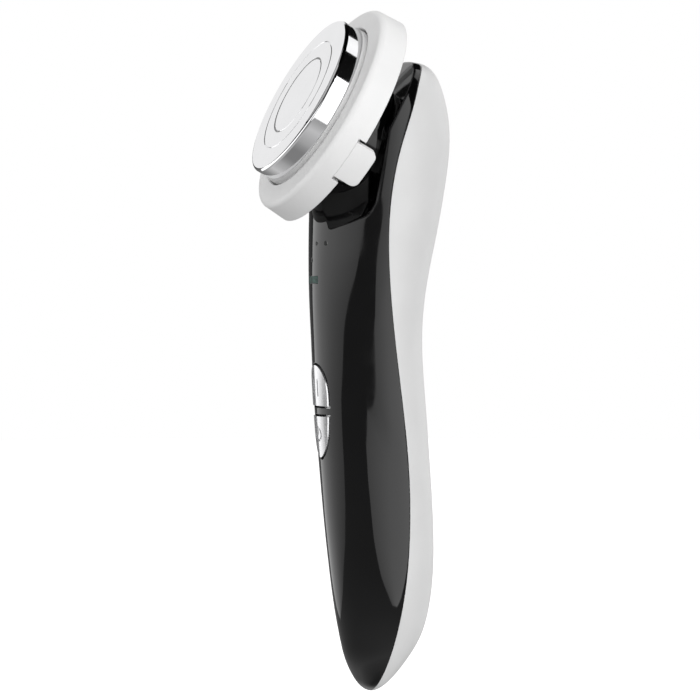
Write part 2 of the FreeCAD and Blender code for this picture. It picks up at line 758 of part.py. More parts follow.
def make_seal():
    steps = [(SEAL_R, PLATE_WALL_H), (SEAL_R, SEAL_END_H), (SKIRT_R, SEAL_END_H)]
    return turned((SKIRT_R, PLATE_WALL_H), steps)


def head_screw_spots():
    spots = []
    for angle in HEAD_SCREW_ANGLES:
        turn = math.radians(angle)
        spots.append((HEAD_SCREW_RING_R * math.cos(turn), HEAD_SCREW_RING_R * math.sin(turn)))
    return spots


def make_head_base():
    """Cup behind the electrode with the flange that keeps the pad ring."""
    floor = BASE_BACK_H - BASE_FLOOR_T
    steps = [
        (BASE_R, SEAL_END_H),
        (BASE_R, BASE_FLANGE_FRONT_H),
        (BASE_FLANGE_R, BASE_FLANGE_FRONT_H),
        (BASE_FLANGE_R, BASE_BACK_H),
        (BASE_BORE_R, BASE_BACK_H),
        (BASE_BORE_R, floor),
        (SKIRT_R, floor),
    ]
    cup = turned((SKIRT_R, SEAL_END_H), steps)
    for x, y in head_screw_spots():
        cup = cup.cut(head_cylinder(HEAD_SCREW_R, floor - 1, BASE_BACK_H + 1, x, y))
    return cup


def make_head_screws():
    screws = []
    floor = BASE_BACK_H - BASE_FLOOR_T
    tip = BASE_BACK_H + NECK_FLANGE_T - HEAD_SCREW_SKIN
    for x, y in head_screw_spots():
        shank = head_cylinder(HEAD_SCREW_R, floor, tip, x, y)
        head = head_cylinder(HEAD_SCREW_HEAD_R, floor - HEAD_SCREW_HEAD_T, floor, x, y)
        slot = head_place(box(x - 1.4, x + 1.4, y - 0.25, y + 0.25, 0.7 - floor, 3 - floor))
        screws.append(shank.fuse(head).cut(slot).removeSplitter())
    return screws


def make_neck():
    """Black neck: flange under the cup, and the tube into the seat of the handle."""
    flange_back = BASE_BACK_H + NECK_FLANGE_T
    blend_mid = 0.3 * NECK_BLEND
    steps = [
        (NECK_FLANGE_R, BASE_BACK_H),
        (NECK_FLANGE_R, flange_back),
        (NECK_R + NECK_BLEND, flange_back),
        ((NECK_R + blend_mid, flange_back + blend_mid), (NECK_R, flange_back + NECK_BLEND)),
        (NECK_R, NECK_END_H),
        (NECK_BORE_R, NECK_END_H),
    ]
    neck = turned((NECK_BORE_R, BASE_BACK_H), steps)
    for x, y in head_screw_spots():
        neck = neck.cut(head_cylinder(HEAD_SCREW_R, BASE_BACK_H - 1, flange_back - HEAD_SCREW_SKIN, x, y))
    return neck


def ring_body():
    """Turned body of the pad ring: lip, domed front, outer wall, and the inner snap wall."""
    back_in = RING_BACK_R - RING_WALL
    snap_out = RING_SNAP_R + RING_SNAP_W
    steps = [
        ((RING_LIP_R + 2.6, RING_LIP_H + 0.45), (RING_SHOULDER_R - 1.3, RING_SHOULDER_H - 0.75)),
        ((RING_SHOULDER_R - 0.28, RING_SHOULDER_H - 0.15), (RING_SHOULDER_R, RING_SHOULDER_H + 0.9)),
        (RING_BACK_R, RING_BACK_H),
        (back_in, RING_BACK_H),
        (back_in - 0.3, RING_SHOULDER_H + 2.6),
        ((back_in - 0.8, RING_SHOULDER_H + 1.5), (back_in - 1.9, RING_SHOULDER_H + 1.1)),
        (snap_out, RING_LIP_H + 2.1),
        (snap_out, RING_SNAP_BACK_H),
        (RING_SNAP_R, RING_SNAP_BACK_H),
        (RING_SNAP_R, RING_LIP_H + 0.3),
    ]
    return turned((RING_LIP_R, RING_LIP_H), steps)


def ring_tab():
    """Lifting tab with round corners, curved like the ring's wall."""
    half = TAB_W / 2
    top = SLIT_DEPTH - RING_BACK_H
    diag = TAB_CORNER * (1 - math.sqrt(0.5))
    steps = [
        (half, top),
        (half, TAB_CORNER - TAB_END_H),
        ((half - diag, diag - TAB_END_H), (half - TAB_CORNER, -TAB_END_H)),
        (TAB_CORNER - half, -TAB_END_H),
        ((diag - half, diag - TAB_END_H), (-half, TAB_CORNER - TAB_END_H)),
    ]
    plate = Part.Face(path_wire((-half, top), steps)).extrude(V(0, 40, 0))
    sleeve = Part.makeCylinder(RING_BACK_R, 14, V(0, 0, -TAB_END_H - 2))
    sleeve = sleeve.cut(Part.makeCylinder(RING_BACK_R - RING_WALL, 30, V(0, 0, -25)))
    return plate.common(sleeve)


def ring_slits():
    """Relief slits in the ring's back edge, one each side of a tab."""
    slits = []
    for side in (-1, 1):
        middle = side * (TAB_W + SLIT_W) / 2
        left = middle - SLIT_W / 2
        slits.append(box(left, left + SLIT_W, 20, 40, -30, SLIT_DEPTH - RING_BACK_H))
    return slits


def make_pad_ring():
    """Ring that clamps a round cotton pad over the electrode, with two lifting tabs."""
    ring = ring_body()
    for angle in TAB_ANGLES:
        turn = angle - 90.0
        for slit in ring_slits():
            slit.rotate(V(0, 0, 0), V(0, 0, 1), turn)
            ring = ring.cut(head_place(slit))
        tab = ring_tab()
        tab.rotate(V(0, 0, 0), V(0, 0, 1), turn)
        ring = ring.fuse(head_place(tab))
    return ring.removeSplitter()


# ---------------------------------------------------------------- vibration motor
def make_motor():
    can = z_cylinder(MOTOR_R, MOTOR_Y, MOTOR_LOW_Z, MOTOR_TOP_Z - MOTOR_LOW_Z)
    return can.cut(z_cylinder(SHAFT_BORE_R, MOTOR_Y, MOTOR_TOP_Z - SHAFT_BORE_L, SHAFT_L))


def make_motor_weight():
    """Shaft with the half-round weight that shakes the handle."""
    low = MOTOR_TOP_Z + WEIGHT_GAP
    shaft = z_cylinder(SHAFT_R, MOTOR_Y, MOTOR_TOP_Z - SHAFT_IN_MOTOR, SHAFT_L)
    hub = z_cylinder(WEIGHT_HUB_R, MOTOR_Y, low, WEIGHT_T)
    half = z_cylinder(WEIGHT_R, MOTOR_Y, low, WEIGHT_T)
    half = half.common(box(-WEIGHT_R, WEIGHT_R, MOTOR_Y, BACK_OUT_Y, low, low + WEIGHT_T))
    return shaft.fuse(hub).fuse(half).removeSplitter()


def make_motor_holder(inner):
    """Block on the inside of the rear cover that grips the motor."""
    block = box(-HOLDER_HALF_W, HOLDER_HALF_W, HOLDER_FRONT_Y, BACK_OUT_Y, *HOLDER_Z).common(inner)
    return block.cut(z_cylinder(MOTOR_R, MOTOR_Y, MOTOR_LOW_Z - 5, MOTOR_R * 10))


# ---------------------------------------------------------------- output
def write(name, shapes):
    if not isinstance(shapes, list):
        shapes = [shapes]
    solids = []
    for shape in shapes:
        solids += shape.Solids
    result = solids[0] if len(solids) == 1 else Part.makeCompound(solids)
    result.exportStep("parts/%s.step" % name)
    print(name, len(solids), "solid(s)", round(result.Volume, 1), result.isValid())


def main():
    os.makedirs("parts", exist_ok=True)
    outer = outer_form()
    inner = inner_form()
    side = front_side()
    under_strip = handle_solid(-STRIP_T)
    write("rear_cover", make_rear_cover(outer, inner, side, under_strip))
    write("front_cover", make_front_cover(outer, inner, side))
    write("hand_contact", make_hand_contact(handle_solid(), under_strip))
    write("mode_button", make_key(True, icon_bars()))
    write("power_button", make_key(False, icon_power()))
    write("mode_plunger", make_plunger(SWITCH_Z[0]))
    write("power_plunger", make_plunger(SWITCH_Z[1]))
    write("tact_switches", make_tact_switches())
    write("main_board", make_main_board())
    write("board_screws", make_board_screws())
    write("board_chips", make_chips())
    write("indicator_leds", make_leds())
    write("light_guide", make_light_guide(outer))
    write("battery_cell", make_cell())
    write("battery_cradle", make_cradle())
    write("battery_pad", make_cell_pad())
    write("charge_board", make_charge_board())
    write("usb_socket", make_usb_socket())
    write("cover_screws", make_cover_screws())
    write("electrode_plate", make_electrode_plate())
    write("centre_electrode", make_centre_electrode())
    write("electrode_insulator", make_insulator())
    write("heater_plate", make_heater())
    write("heat_sensor", make_heat_sensor())
    write("head_seal", make_seal())
    write("head_base", make_head_base())
    write("head_screws", make_head_screws())
    write("head_neck", make_neck())
    write("pad_ring", make_pad_ring())
    write("motor", make_motor())
    write("motor_weight", make_motor_weight())
    write("motor_holder", make_motor_holder(inner))


main()
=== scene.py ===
import math

import bmesh
import bpy
import numpy as np
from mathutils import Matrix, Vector


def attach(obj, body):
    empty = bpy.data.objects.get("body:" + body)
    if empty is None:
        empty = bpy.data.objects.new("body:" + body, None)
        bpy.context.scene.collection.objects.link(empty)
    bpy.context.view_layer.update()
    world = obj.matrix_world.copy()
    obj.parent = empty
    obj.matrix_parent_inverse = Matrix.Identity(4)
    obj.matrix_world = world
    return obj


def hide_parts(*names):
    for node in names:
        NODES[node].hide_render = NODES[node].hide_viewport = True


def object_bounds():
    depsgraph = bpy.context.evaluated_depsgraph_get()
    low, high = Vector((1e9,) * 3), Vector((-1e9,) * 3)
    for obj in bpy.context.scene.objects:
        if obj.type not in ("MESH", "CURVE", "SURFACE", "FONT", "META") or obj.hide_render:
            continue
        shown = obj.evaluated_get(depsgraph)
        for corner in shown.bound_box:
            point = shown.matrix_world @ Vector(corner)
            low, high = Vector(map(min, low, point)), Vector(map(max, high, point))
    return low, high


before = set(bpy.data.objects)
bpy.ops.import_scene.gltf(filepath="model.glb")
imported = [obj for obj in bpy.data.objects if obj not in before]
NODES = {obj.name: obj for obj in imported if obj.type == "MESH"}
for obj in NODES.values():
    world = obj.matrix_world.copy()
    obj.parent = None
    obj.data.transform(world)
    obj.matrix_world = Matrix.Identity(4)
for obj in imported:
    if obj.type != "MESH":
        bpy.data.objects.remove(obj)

# Everything is in metres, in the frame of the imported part: origin at the centre of the
# treatment face, +Z up the handle, -Y the front with the keys, X to the side.
MM = 0.001
CAD_LOW, CAD_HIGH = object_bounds()
CENTRE = (CAD_LOW + CAD_HIGH) / 2
HEAD_TILT = math.radians(27.7)      # of the treatment face, above the front direction

NOISE_LOW = 0.3                     # the part of a noise texture's range that is used
NOISE_HIGH = 0.7
EDGE_SAMPLES = 8                    # of the shader that rounds edges


# ------------------------------------------------------------------ material helpers
def make_material(name, color, roughness, metallic=0.0, **sockets):
    """A Principled material; socket names are written with underscores."""
    material = bpy.data.materials.new("look_" + name)
    material.use_nodes = True
    shader = material.node_tree.nodes["Principled BSDF"]
    shader.inputs["Base Color"].default_value = (*color, 1.0)
    shader.inputs["Roughness"].default_value = roughness
    shader.inputs["Metallic"].default_value = metallic
    for socket, value in sockets.items():
        shader.inputs[socket.replace("_", " ")].default_value = value
    return material


def node(material, kind):
    return material.node_tree.nodes.new("ShaderNode" + kind)


def link(material, output, socket):
    material.node_tree.links.new(output, socket)


def shader_of(material):
    return material.node_tree.nodes["Principled BSDF"]


def object_place(material, stretch=(1.0, 1.0, 1.0)):
    """Texture coordinates fixed to the part, in metres, stretched along the axes."""
    place = node(material, "TexCoord")
    mapping = node(material, "Mapping")
    mapping.inputs["Scale"].default_value = stretch
    link(material, place.outputs["Object"], mapping.inputs["Vector"])
    return mapping.outputs["Vector"]


def noise(material, size, detail=4.0, stretch=(1.0, 1.0, 1.0)):
    """Noise whose blobs are about size metres across, fixed to the part."""
    texture = node(material, "TexNoise")
    texture.inputs["Scale"].default_value = 1.0 / size
    texture.inputs["Detail"].default_value = detail
    link(material, object_place(material, stretch), texture.inputs["Vector"])
    return texture.outputs["Fac"]


def vary_color(material, value, first, second):
    """Base colour runs from first to second over the middle of the noise's range."""
    ramp = node(material, "ValToRGB")
    ramp.color_ramp.elements[0].position = NOISE_LOW
    ramp.color_ramp.elements[1].position = NOISE_HIGH
    ramp.color_ramp.elements[0].color = (*first, 1.0)
    ramp.color_ramp.elements[1].color = (*second, 1.0)
    link(material, value, ramp.inputs["Fac"])
    link(material, ramp.outputs["Color"], shader_of(material).inputs["Base Color"])


def vary_roughness(material, value, low, high):
    spread = node(material, "MapRange")
    spread.inputs["From Min"].default_value = NOISE_LOW
    spread.inputs["From Max"].default_value = NOISE_HIGH
    spread.inputs["To Min"].default_value = low
    spread.inputs["To Max"].default_value = high
    link(material, value, spread.inputs["Value"])
    link(material, spread.outputs["Result"], shader_of(material).inputs["Roughness"])


def relief(material, layers, edge=None, edge_value=None):
    """Surface relief from (value, height in metres) layers, over rounded edges.

    edge is their radius in metres; edge_value is a node output that gives it instead.
    """
    normal = None
    if edge is not None or edge_value is not None:
        bevel = node(material, "Bevel")
        bevel.samples = EDGE_SAMPLES
        if edge_value is None:
            bevel.inputs["Radius"].default_value = edge
        else:
            link(material, edge_value, bevel.inputs["Radius"])
        normal = bevel.outputs["Normal"]
    for value, height in layers:
        bump = node(material, "Bump")
        bump.inputs["Strength"].default_value = 1.0
        bump.inputs["Distance"].default_value = height
        link(material, value, bump.inputs["Height"])
        if normal is not None:
            link(material, normal, bump.inputs["Normal"])
        normal = bump.outputs["Normal"]
    link(material, normal, shader_of(material).inputs["Normal"])


def by_height(material, low_z, high_z, low_value, high_value):
    """A value that changes with height on the part, between two levels in metres."""
    place = node(material, "TexCoord")
    axes = node(material, "SeparateXYZ")
    level = node(material, "MapRange")
    level.inputs["From Min"].default_value = low_z
    level.inputs["From Max"].default_value = high_z
    level.inputs["To Min"].default_value = low_value
    level.inputs["To Max"].default_value = high_value
    link(material, place.outputs["Object"], axes.inputs["Vector"])
    link(material, axes.outputs["Z"], level.inputs["Value"])
    return level.outputs["Result"]


# ------------------------------------------------------------------ finishes
SCOOP_LOW_Z = -0.030                # the finger scoops lie above this height
LAMP_BAR_TOP_Z = -0.0455            # of the wide window; the round ones lie above it
WAVE_RATE = 20.0                    # radians of phase per metre in a wave texture at scale 1


def black_gloss():
    """Piano black moulding: long faint waves and marks in the gloss, softer edges at the scoops."""
    m = make_material("black_gloss", (0.002, 0.002, 0.0022), 0.03, IOR=1.5)
    vary_color(m, noise(m, 0.012), (0.0015, 0.0015, 0.0017), (0.0025, 0.0025, 0.0027))
    vary_roughness(m, noise(m, 0.006, 6.0), 0.02, 0.06)
    edges = by_height(m, SCOOP_LOW_Z - 4 * MM, SCOOP_LOW_Z, 0.35 * MM, 1.0 * MM)
    relief(m, [(noise(m, 0.02, 2.0), 3e-6)], edge_value=edges)
    return m


def white_cover():
    """Light grey-white moulding with a fine satin grain."""
    m = make_material("white_cover", (0.66, 0.66, 0.66), 0.32, IOR=1.48)
    vary_color(m, noise(m, 0.010), (0.645, 0.645, 0.645), (0.67, 0.67, 0.67))
    vary_roughness(m, noise(m, 0.0012), 0.28, 0.38)
    relief(m, [(noise(m, 0.00035, 2.0), 1.5e-6)], 0.3 * MM)
    return m


def white_ring():
    """Soft matte white moulding with spark-eroded grain."""
    m = make_material("white_ring", (0.82, 0.82, 0.82), 0.5, IOR=1.46)
    vary_color(m, noise(m, 0.008), (0.80, 0.80, 0.80), (0.83, 0.83, 0.83))
    vary_roughness(m, noise(m, 0.0008), 0.45, 0.58)
    relief(m, [(noise(m, 0.00025, 3.0), 3e-6)], 0.3 * MM)
    return m


def lathe_rings(material, pitch):
    """Concentric turning marks about the axis of the head, pitch metres apart."""
    place = node(material, "TexCoord")
    turn = node(material, "Mapping")
    turn.inputs["Rotation"].default_value = (HEAD_TILT - math.pi / 2, 0.0, 0.0)
    link(material, place.outputs["Object"], turn.inputs["Vector"])
    rings = node(material, "TexWave")
    rings.wave_type = "RINGS"
    rings.rings_direction = "Z"
    rings.inputs["Scale"].default_value = 2 * math.pi / (pitch * WAVE_RATE)
    rings.inputs["Distortion"].default_value = 0.6
    rings.inputs["Detail"].default_value = 3.0
    link(material, turn.outputs["Vector"], rings.inputs["Vector"])
    return rings.outputs["Fac"]


def chrome_plate():
    """Polished plated metal with faint turning marks and wiping haze."""
    m = make_material("chrome_plate", (0.82, 0.82, 0.83), 0.06, 1.0)
    vary_color(m, noise(m, 0.009), (0.80, 0.80, 0.81), (0.83, 0.83, 0.84))
    vary_roughness(m, noise(m, 0.004, 6.0), 0.04, 0.10)
    relief(m, [(lathe_rings(m, 0.5 * math.pi * MM), 0.4e-6)], 0.12 * MM)
    return m


def hand_chrome():
    """Plated contact on the back, brushed along the handle."""
    m = make_material("hand_chrome", (0.80, 0.80, 0.81), 0.14, 1.0)
    brushed = noise(m, 0.0004, 3.0, (1.0, 1.0, 0.03))
    vary_color(m, brushed, (0.77, 0.77, 0.78), (0.82, 0.82, 0.83))
    vary_roughness(m, noise(m, 0.003), 0.10, 0.2)
    relief(m, [(brushed, 0.6e-6)], 0.1 * MM)
    return m


def silver_key():
    """Satin silver paint with fine metal flake."""
    m = make_material("silver_key", (0.72, 0.72, 0.73), 0.24, 0.9)
    vary_color(m, noise(m, 0.00012, 2.0), (0.66, 0.66, 0.67), (0.78, 0.78, 0.79))
    vary_roughness(m, noise(m, 0.0006), 0.2, 0.28)
    relief(m, [(noise(m, 0.00015, 2.0), 0.5e-6)], 0.12 * MM)
    return m


def plain_plastic(name, first, second, roughness, grain=0.0006):
    """Moulded plastic, clouded between two colours, with a spark-eroded grain."""
    m = make_material(name, first, roughness)
    vary_color(m, noise(m, 0.004), first, second)
    vary_roughness(m, noise(m, grain), roughness - 0.06, roughness + 0.08)
    relief(m, [(noise(m, grain, 3.0), 4e-6)], 0.08 * MM)
    return m


def metal(name, first, second, roughness, stretch=(1.0, 1.0, 1.0)):
    """Bare metal; stretch draws its fine marks out along an axis."""
    m = make_material(name, first, roughness, 1.0)
    brushed = noise(m, 0.0004, 3.0, stretch)
    vary_color(m, brushed, first, second)
    vary_roughness(m, noise(m, 0.0015), roughness - 0.05, roughness + 0.1)
    relief(m, [(brushed, 1e-6)], 0.06 * MM)
    return m


def circuit_board():
    """Green solder mask with a faint weave and copper traces under it."""
    m = make_material("board_green", (0.01, 0.09, 0.04), 0.35)
    traces = node(m, "TexWave")
    traces.bands_direction = "Z"
    traces.inputs["Scale"].default_value = 260.0
    traces.inputs["Distortion"].default_value = 9.0
    traces.inputs["Detail"].default_value = 1.0
    link(m, object_place(m), traces.inputs["Vector"])
    vary_color(m, traces.outputs["Fac"], (0.008, 0.07, 0.03), (0.02, 0.16, 0.06))
    relief(m, [(traces.outputs["Fac"], 8e-6), (noise(m, 0.0005), 3e-6)])
    return m


def smoked_lens():
    """Dark clear windows; the wide one has a faint green colour."""
    m = make_material("clear", (0.02, 0.022, 0.022), 0.45, IOR=1.3)
    lamp = by_height(m, LAMP_BAR_TOP_Z - 0.5 * MM, LAMP_BAR_TOP_Z, 1.0, 0.0)
    cells = noise(m, 0.0007, 2.0)
    spots = node(m, "Math")
    spots.operation = "MULTIPLY"
    link(m, lamp, spots.inputs[0])
    link(m, cells, spots.inputs[1])
    ramp = node(m, "ValToRGB")
    ramp.color_ramp.elements[0].position = 0.25
    ramp.color_ramp.elements[1].position = 0.65
    ramp.color_ramp.elements[0].color = (0.012, 0.013, 0.013, 1.0)
    ramp.color_ramp.elements[1].color = (0.025, 0.085, 0.068, 1.0)
    link(m, spots.outputs["Value"], ramp.inputs["Fac"])
    link(m, ramp.outputs["Color"], shader_of(m).inputs["Base Color"])
    vary_roughness(m, noise(m, 0.002), 0.4, 0.5)
    return m


def foam():
    """Open-cell foam of the pad behind the battery."""
    m = make_material("foam", (0.03, 0.03, 0.032), 0.9)
    cells = node(m, "TexVoronoi")
    cells.inputs["Scale"].default_value = 2200.0
    link(m, object_place(m), cells.inputs["Vector"])
    vary_color(m, cells.outputs["Distance"], (0.015, 0.015, 0.016), (0.05, 0.05, 0.052))
    relief(m, [(cells.outputs["Distance"], 8e-5)])
    return m


FINISHES = {
    "black_gloss": black_gloss(),
    "white_cover": white_cover(),
    "white_ring": white_ring(),
    "chrome_plate": chrome_plate(),
    "silver_key": silver_key(),
    "insulator": plain_plastic("insulator", (0.30, 0.30, 0.30), (0.34, 0.34, 0.34), 0.45),
    "silicone_white": plain_plastic("silicone_white", (0.62, 0.62, 0.62), (0.68, 0.68, 0.68), 0.55),
    "black_plastic": plain_plastic(
        "black_plastic", (0.012, 0.012, 0.013), (0.02, 0.02, 0.022), 0.45),
    "board_green": circuit_board(),
    "chip_black": plain_plastic("chip_black", (0.015, 0.015, 0.015), (0.03, 0.03, 0.03), 0.6),
    "steel": metal("steel", (0.55, 0.55, 0.56), (0.64, 0.64, 0.65), 0.25),
    "aluminium": metal(
        "aluminium", (0.72, 0.72, 0.73), (0.80, 0.80, 0.81), 0.35, (0.05, 1.0, 1.0)),
    "cell_sleeve": plain_plastic("cell_sleeve", (0.02, 0.07, 0.22), (0.03, 0.09, 0.27), 0.3, 0.002),
    "foam": foam(),
    "clear": smoked_lens(),
    "led": plain_plastic("led", (0.75, 0.72, 0.55), (0.85, 0.82, 0.66), 0.25, 0.0005),
}


def dress_cad_nodes():
    """Give every CAD node the finish of its record slot."""
    for name, part in NODES.items():
        slot_name = part.material_slots[0].material.name.split(".")[0]
        part.data.materials[0] = FINISHES[slot_name]
    NODES["hand_contact"].data.materials[0] = hand_chrome()


dress_cad_nodes()


# ------------------------------------------------------------------ smooth shells
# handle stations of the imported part: height z, front y, back y, half width, in millimetres
STATIONS = [
    (9.1, 24.0, 31.0, 3.5), (8.95, 20.5, 32.6, 6.0), (8.5, 16.5, 34.3, 9.3),
    (7.9, 14.0, 35.2, 11.3), (6.7, 11.3, 36.4, 13.5), (3.4, 7.0, 38.2, 16.3),
    (-3.0, 5.4, 40.1, 17.6), (-10.5, 4.9, 40.9, 17.9), (-22.0, 4.4, 39.8, 17.5),
    (-35.0, 4.0, 37.5, 16.2), (-50.0, 4.0, 34.5, 15.0), (-62.0, 4.5, 33.5, 14.4),
    (-78.0, 5.3, 34.4, 14.2), (-95.0, 6.7, 35.7, 14.4), (-112.0, 8.3, 36.7, 14.3),
    (-124.0, 9.7, 36.6, 13.9), (-134.0, 11.1, 35.3, 12.7), (-141.0, 12.4, 32.9, 11.2),
    (-146.5, 13.8, 29.2, 9.3), (-150.5, 15.6, 25.8, 7.0), (-153.0, 17.3, 23.2, 4.3),
    (-154.3, 19.2, 21.2, 1.5),
]


def natural_spline(x, y):
    """Value and slope of the natural cubic through the points, as a function of arrays."""
    h = np.diff(x)
    count = len(x)
    system = np.eye(count)
    right = np.zeros(count)
    for i in range(1, count - 1):
        system[i, i - 1:i + 2] = h[i - 1], 2 * (h[i - 1] + h[i]), h[i]
        right[i] = 6 * ((y[i + 1] - y[i]) / h[i] - (y[i] - y[i - 1]) / h[i - 1])
    bend = np.linalg.solve(system, right)

    def evaluate(at):
        i = np.clip(np.searchsorted(x, at) - 1, 0, count - 2)
        step = h[i]
        a = (x[i + 1] - at) / step
        b = (at - x[i]) / step
        value = a * y[i] + b * y[i + 1] + ((a**3 - a) * bend[i] + (b**3 - b) * bend[i + 1]) * step**2 / 6
        slope = (y[i + 1] - y[i]) / step
        slope += ((1 - 3 * a**2) * bend[i] + (3 * b**2 - 1) * bend[i + 1]) * step / 6
        return value, slope

    return evaluate


def skin_function():
    """Distance from the handle's outer skin in millimetres, and its outward normal."""
    table = np.array(STATIONS[::-1])
    z = table[:, 0]
    centre_of = natural_spline(z, (table[:, 1] + table[:, 2]) / 2)
    depth_of = natural_spline(z, (table[:, 2] - table[:, 1]) / 2)
    width_of = natural_spline(z, table[:, 3])

    def evaluate(points):
        height = np.clip(points[:, 2], z[0], z[-1])
        c, dc = centre_of(height)
        a, da = depth_of(height)
        b, db = width_of(height)
        x = points[:, 0]
        y = points[:, 1] - c
        level = (x / b)**2 + (y / a)**2 - 1
        slope_z = -2 * x**2 * db / b**3 - 2 * y * dc / a**2 - 2 * y**2 * da / a**3
        gradient = np.stack([2 * x / b**2, 2 * y / a**2, slope_z], axis=1)
        steepness = np.linalg.norm(gradient, axis=1)
        return level / steepness, gradient / steepness[:, None]

    return evaluate


SKIN = skin_function()
SKIN_BAND = 0.15            # how near the skin a face lies to be shaded as skin, mm
SKIN_TURN = 0.95            # and how well its normal agrees
KEY_HALF_W = 5.3            # mm
KEY_PROUD = 0.3             # mm
KEY_CROWN = 0.85            # slope of the keys' shading at their widest edge


def smooth_shell(name, body, proud=0.0, crown=0.0):
    """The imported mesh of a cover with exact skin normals, so that its gloss runs clean.

    proud is how far its top stands out of the skin, in millimetres. crown makes the normals
    lean outward to the sides, by that slope at the key's widest edge.
    """
    source = NODES[name]
    mesh = source.data.copy()
    faces = len(mesh.polygons)
    centres = np.zeros(faces * 3)
    face_normals = np.zeros(faces * 3)
    mesh.polygons.foreach_get("center", centres)
    mesh.polygons.foreach_get("normal", face_normals)
    distance, wanted = SKIN(centres.reshape(-1, 3) / MM)
    agreement = (wanted * face_normals.reshape(-1, 3)).sum(axis=1)
    on_skin = (np.abs(distance - proud) < SKIN_BAND) & (agreement > SKIN_TURN)
    corners = len(mesh.loops)
    corner_normals = np.zeros(corners * 3)
    mesh.corner_normals.foreach_get("vector", corner_normals)
    corner_normals = corner_normals.reshape(-1, 3)
    corner_vertex = np.zeros(corners, dtype=np.int32)
    mesh.loops.foreach_get("vertex_index", corner_vertex)
    places = np.zeros(len(mesh.vertices) * 3)
    mesh.vertices.foreach_get("co", places)
    corner_places = places.reshape(-1, 3)[corner_vertex] / MM
    totals = np.zeros(faces, dtype=np.int32)
    mesh.polygons.foreach_get("loop_total", totals)
    corner_on_skin = np.repeat(on_skin, totals)
    smooth = SKIN(corner_places[corner_on_skin])[1]
    smooth[:, 0] += crown * corner_places[corner_on_skin][:, 0] / KEY_HALF_W
    corner_normals[corner_on_skin] = smooth / np.linalg.norm(smooth, axis=1)[:, None]
    mesh.normals_split_custom_set(corner_normals)
    piece = bpy.data.objects.new(name + "_shell", mesh)
    bpy.context.scene.collection.objects.link(piece)
    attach(piece, body)
    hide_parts(name)


smooth_shell("front_cover", "handle")
smooth_shell("rear_cover", "handle")
smooth_shell("mode_button", "mode_key", KEY_PROUD, KEY_CROWN)
smooth_shell("power_button", "power_key", KEY_PROUD, KEY_CROWN)


# ------------------------------------------------------------------ camera
CAMERA_AZIMUTH = 68.63              # degrees from the front, towards +X
CAMERA_ELEVATION = 1.488
CAMERA_DISTANCE = 0.5047
CAMERA_ASIDE = -0.00103
CAMERA_RAISED = 0.00063
CAMERA_LENS = 100.0                 # millimetres
CAMERA_SENSOR = 36.0                # width, millimetres


def direction(azimuth, elevation):
    """Unit vector at degrees from the front towards +X, and degrees above the level."""
    a = math.radians(azimuth)
    e = math.radians(elevation)
    return Vector((math.sin(a) * math.cos(e), -math.cos(a) * math.cos(e), math.sin(e)))


def make_camera():
    back = direction(CAMERA_AZIMUTH, CAMERA_ELEVATION)
    right = Vector((0, 0, 1)).cross(back).normalized()
    up = back.cross(right)
    data = bpy.data.cameras.new("camera")
    data.lens = CAMERA_LENS
    data.sensor_width = CAMERA_SENSOR
    camera = bpy.data.objects.new("camera", data)
    camera.location = CENTRE + back * CAMERA_DISTANCE + right * CAMERA_ASIDE + up * CAMERA_RAISED
    camera.rotation_mode = "QUATERNION"
    camera.rotation_quaternion = (-back).to_track_quat("-Z", "Y")
    bpy.context.scene.collection.objects.link(camera)
    bpy.context.scene.camera = camera


make_camera()


# ------------------------------------------------------------------ stage
CARD_RADIUS = 0.7
CARD_CENTRE = Vector((0.0, 0.02, -0.07))
CARD_COLUMNS = 24
DOME_RADIUS = 1.4
BACKDROP_RADIUS = 3.0
FLOOR_RADIUS = 2.6
FLOOR_DROP = 0.12                   # below the part's lowest point
SKY_SPAN = 0.8                      # height range of the sky's gradient, as a share of its radius
SKY_LOW = 0.5
SKY_HIGH = 0.88

# light cards: rows of (azimuth, elevation) at the left and right, top row first, in degrees;
# then the brightness at the left, middle and right, and how much of it the last row keeps
CARDS = {
    "left_card": ([
        ((-65, 14), (66, 14)), ((-65, 7), (65, 0)), ((-66, 4), (51, 0)), ((-68, 1), (38, -2)),
        ((-70, -2), (21, -5)), ((-73, -6), (11, -8)), ((-77, -9), (4, -13)), ((-82, -12), (-2, -16)),
        ((-82, -16), (-13, -19)), ((-76, -19), (-29, -21)), ((-66, -22), (-61, -22.5)),
    ], (1.95, 1.75, 1.0, 0.6)),
    "right_card": ([
        ((84, 24), (119, 26)), ((82, 8), (122, 8)), ((78, -1), (138, 0)), ((84, -3), (140, -2)),
        ((86, -4.5), (141, -3.5)), ((76, -5.5), (141, -4.5)), ((64, -6.5), (141, -6)),
        ((56, -9), (140, -8)), ((54, -12), (136, -10)), ((56, -16), (130, -13)),
        ((66, -21), (122, -19)), ((80, -25), (113, -25)), ((92, -28), (104, -28)),
    ], (1.1, 1.8, 2.1, 1.0)),
    "face_card": ([((-112, 44), (-60, 44)), ((-112, 12), (-66, 15))], (0.95, 0.95, 0.95, 1.0)),
    "top_card": ([((158, 57), (204, 57)), ((158, 40), (204, 40))], (1.15, 1.2, 1.1, 1.0)),
    "front_card": ([((-45, 64), (45, 64)), ((-45, 26), (45, 26))], (0.5, 0.6, 0.5, 0.7)),
    "back_card": ([((185, 28), (245, 28)), ((185, -30), (245, -30))], (0.8, 0.9, 0.7, 0.8)),
}

# brightness of the dim surround: share of its height, level
DOME_LEVELS = [
    (0.02, 0.24), (0.055, 0.42), (0.15, 0.62), (0.205, 0.46), (0.265, 0.32), (0.33, 0.24),
    (0.50, 0.15), (0.55, 0.10), (0.62, 0.01), (1.0, 0.0),
]

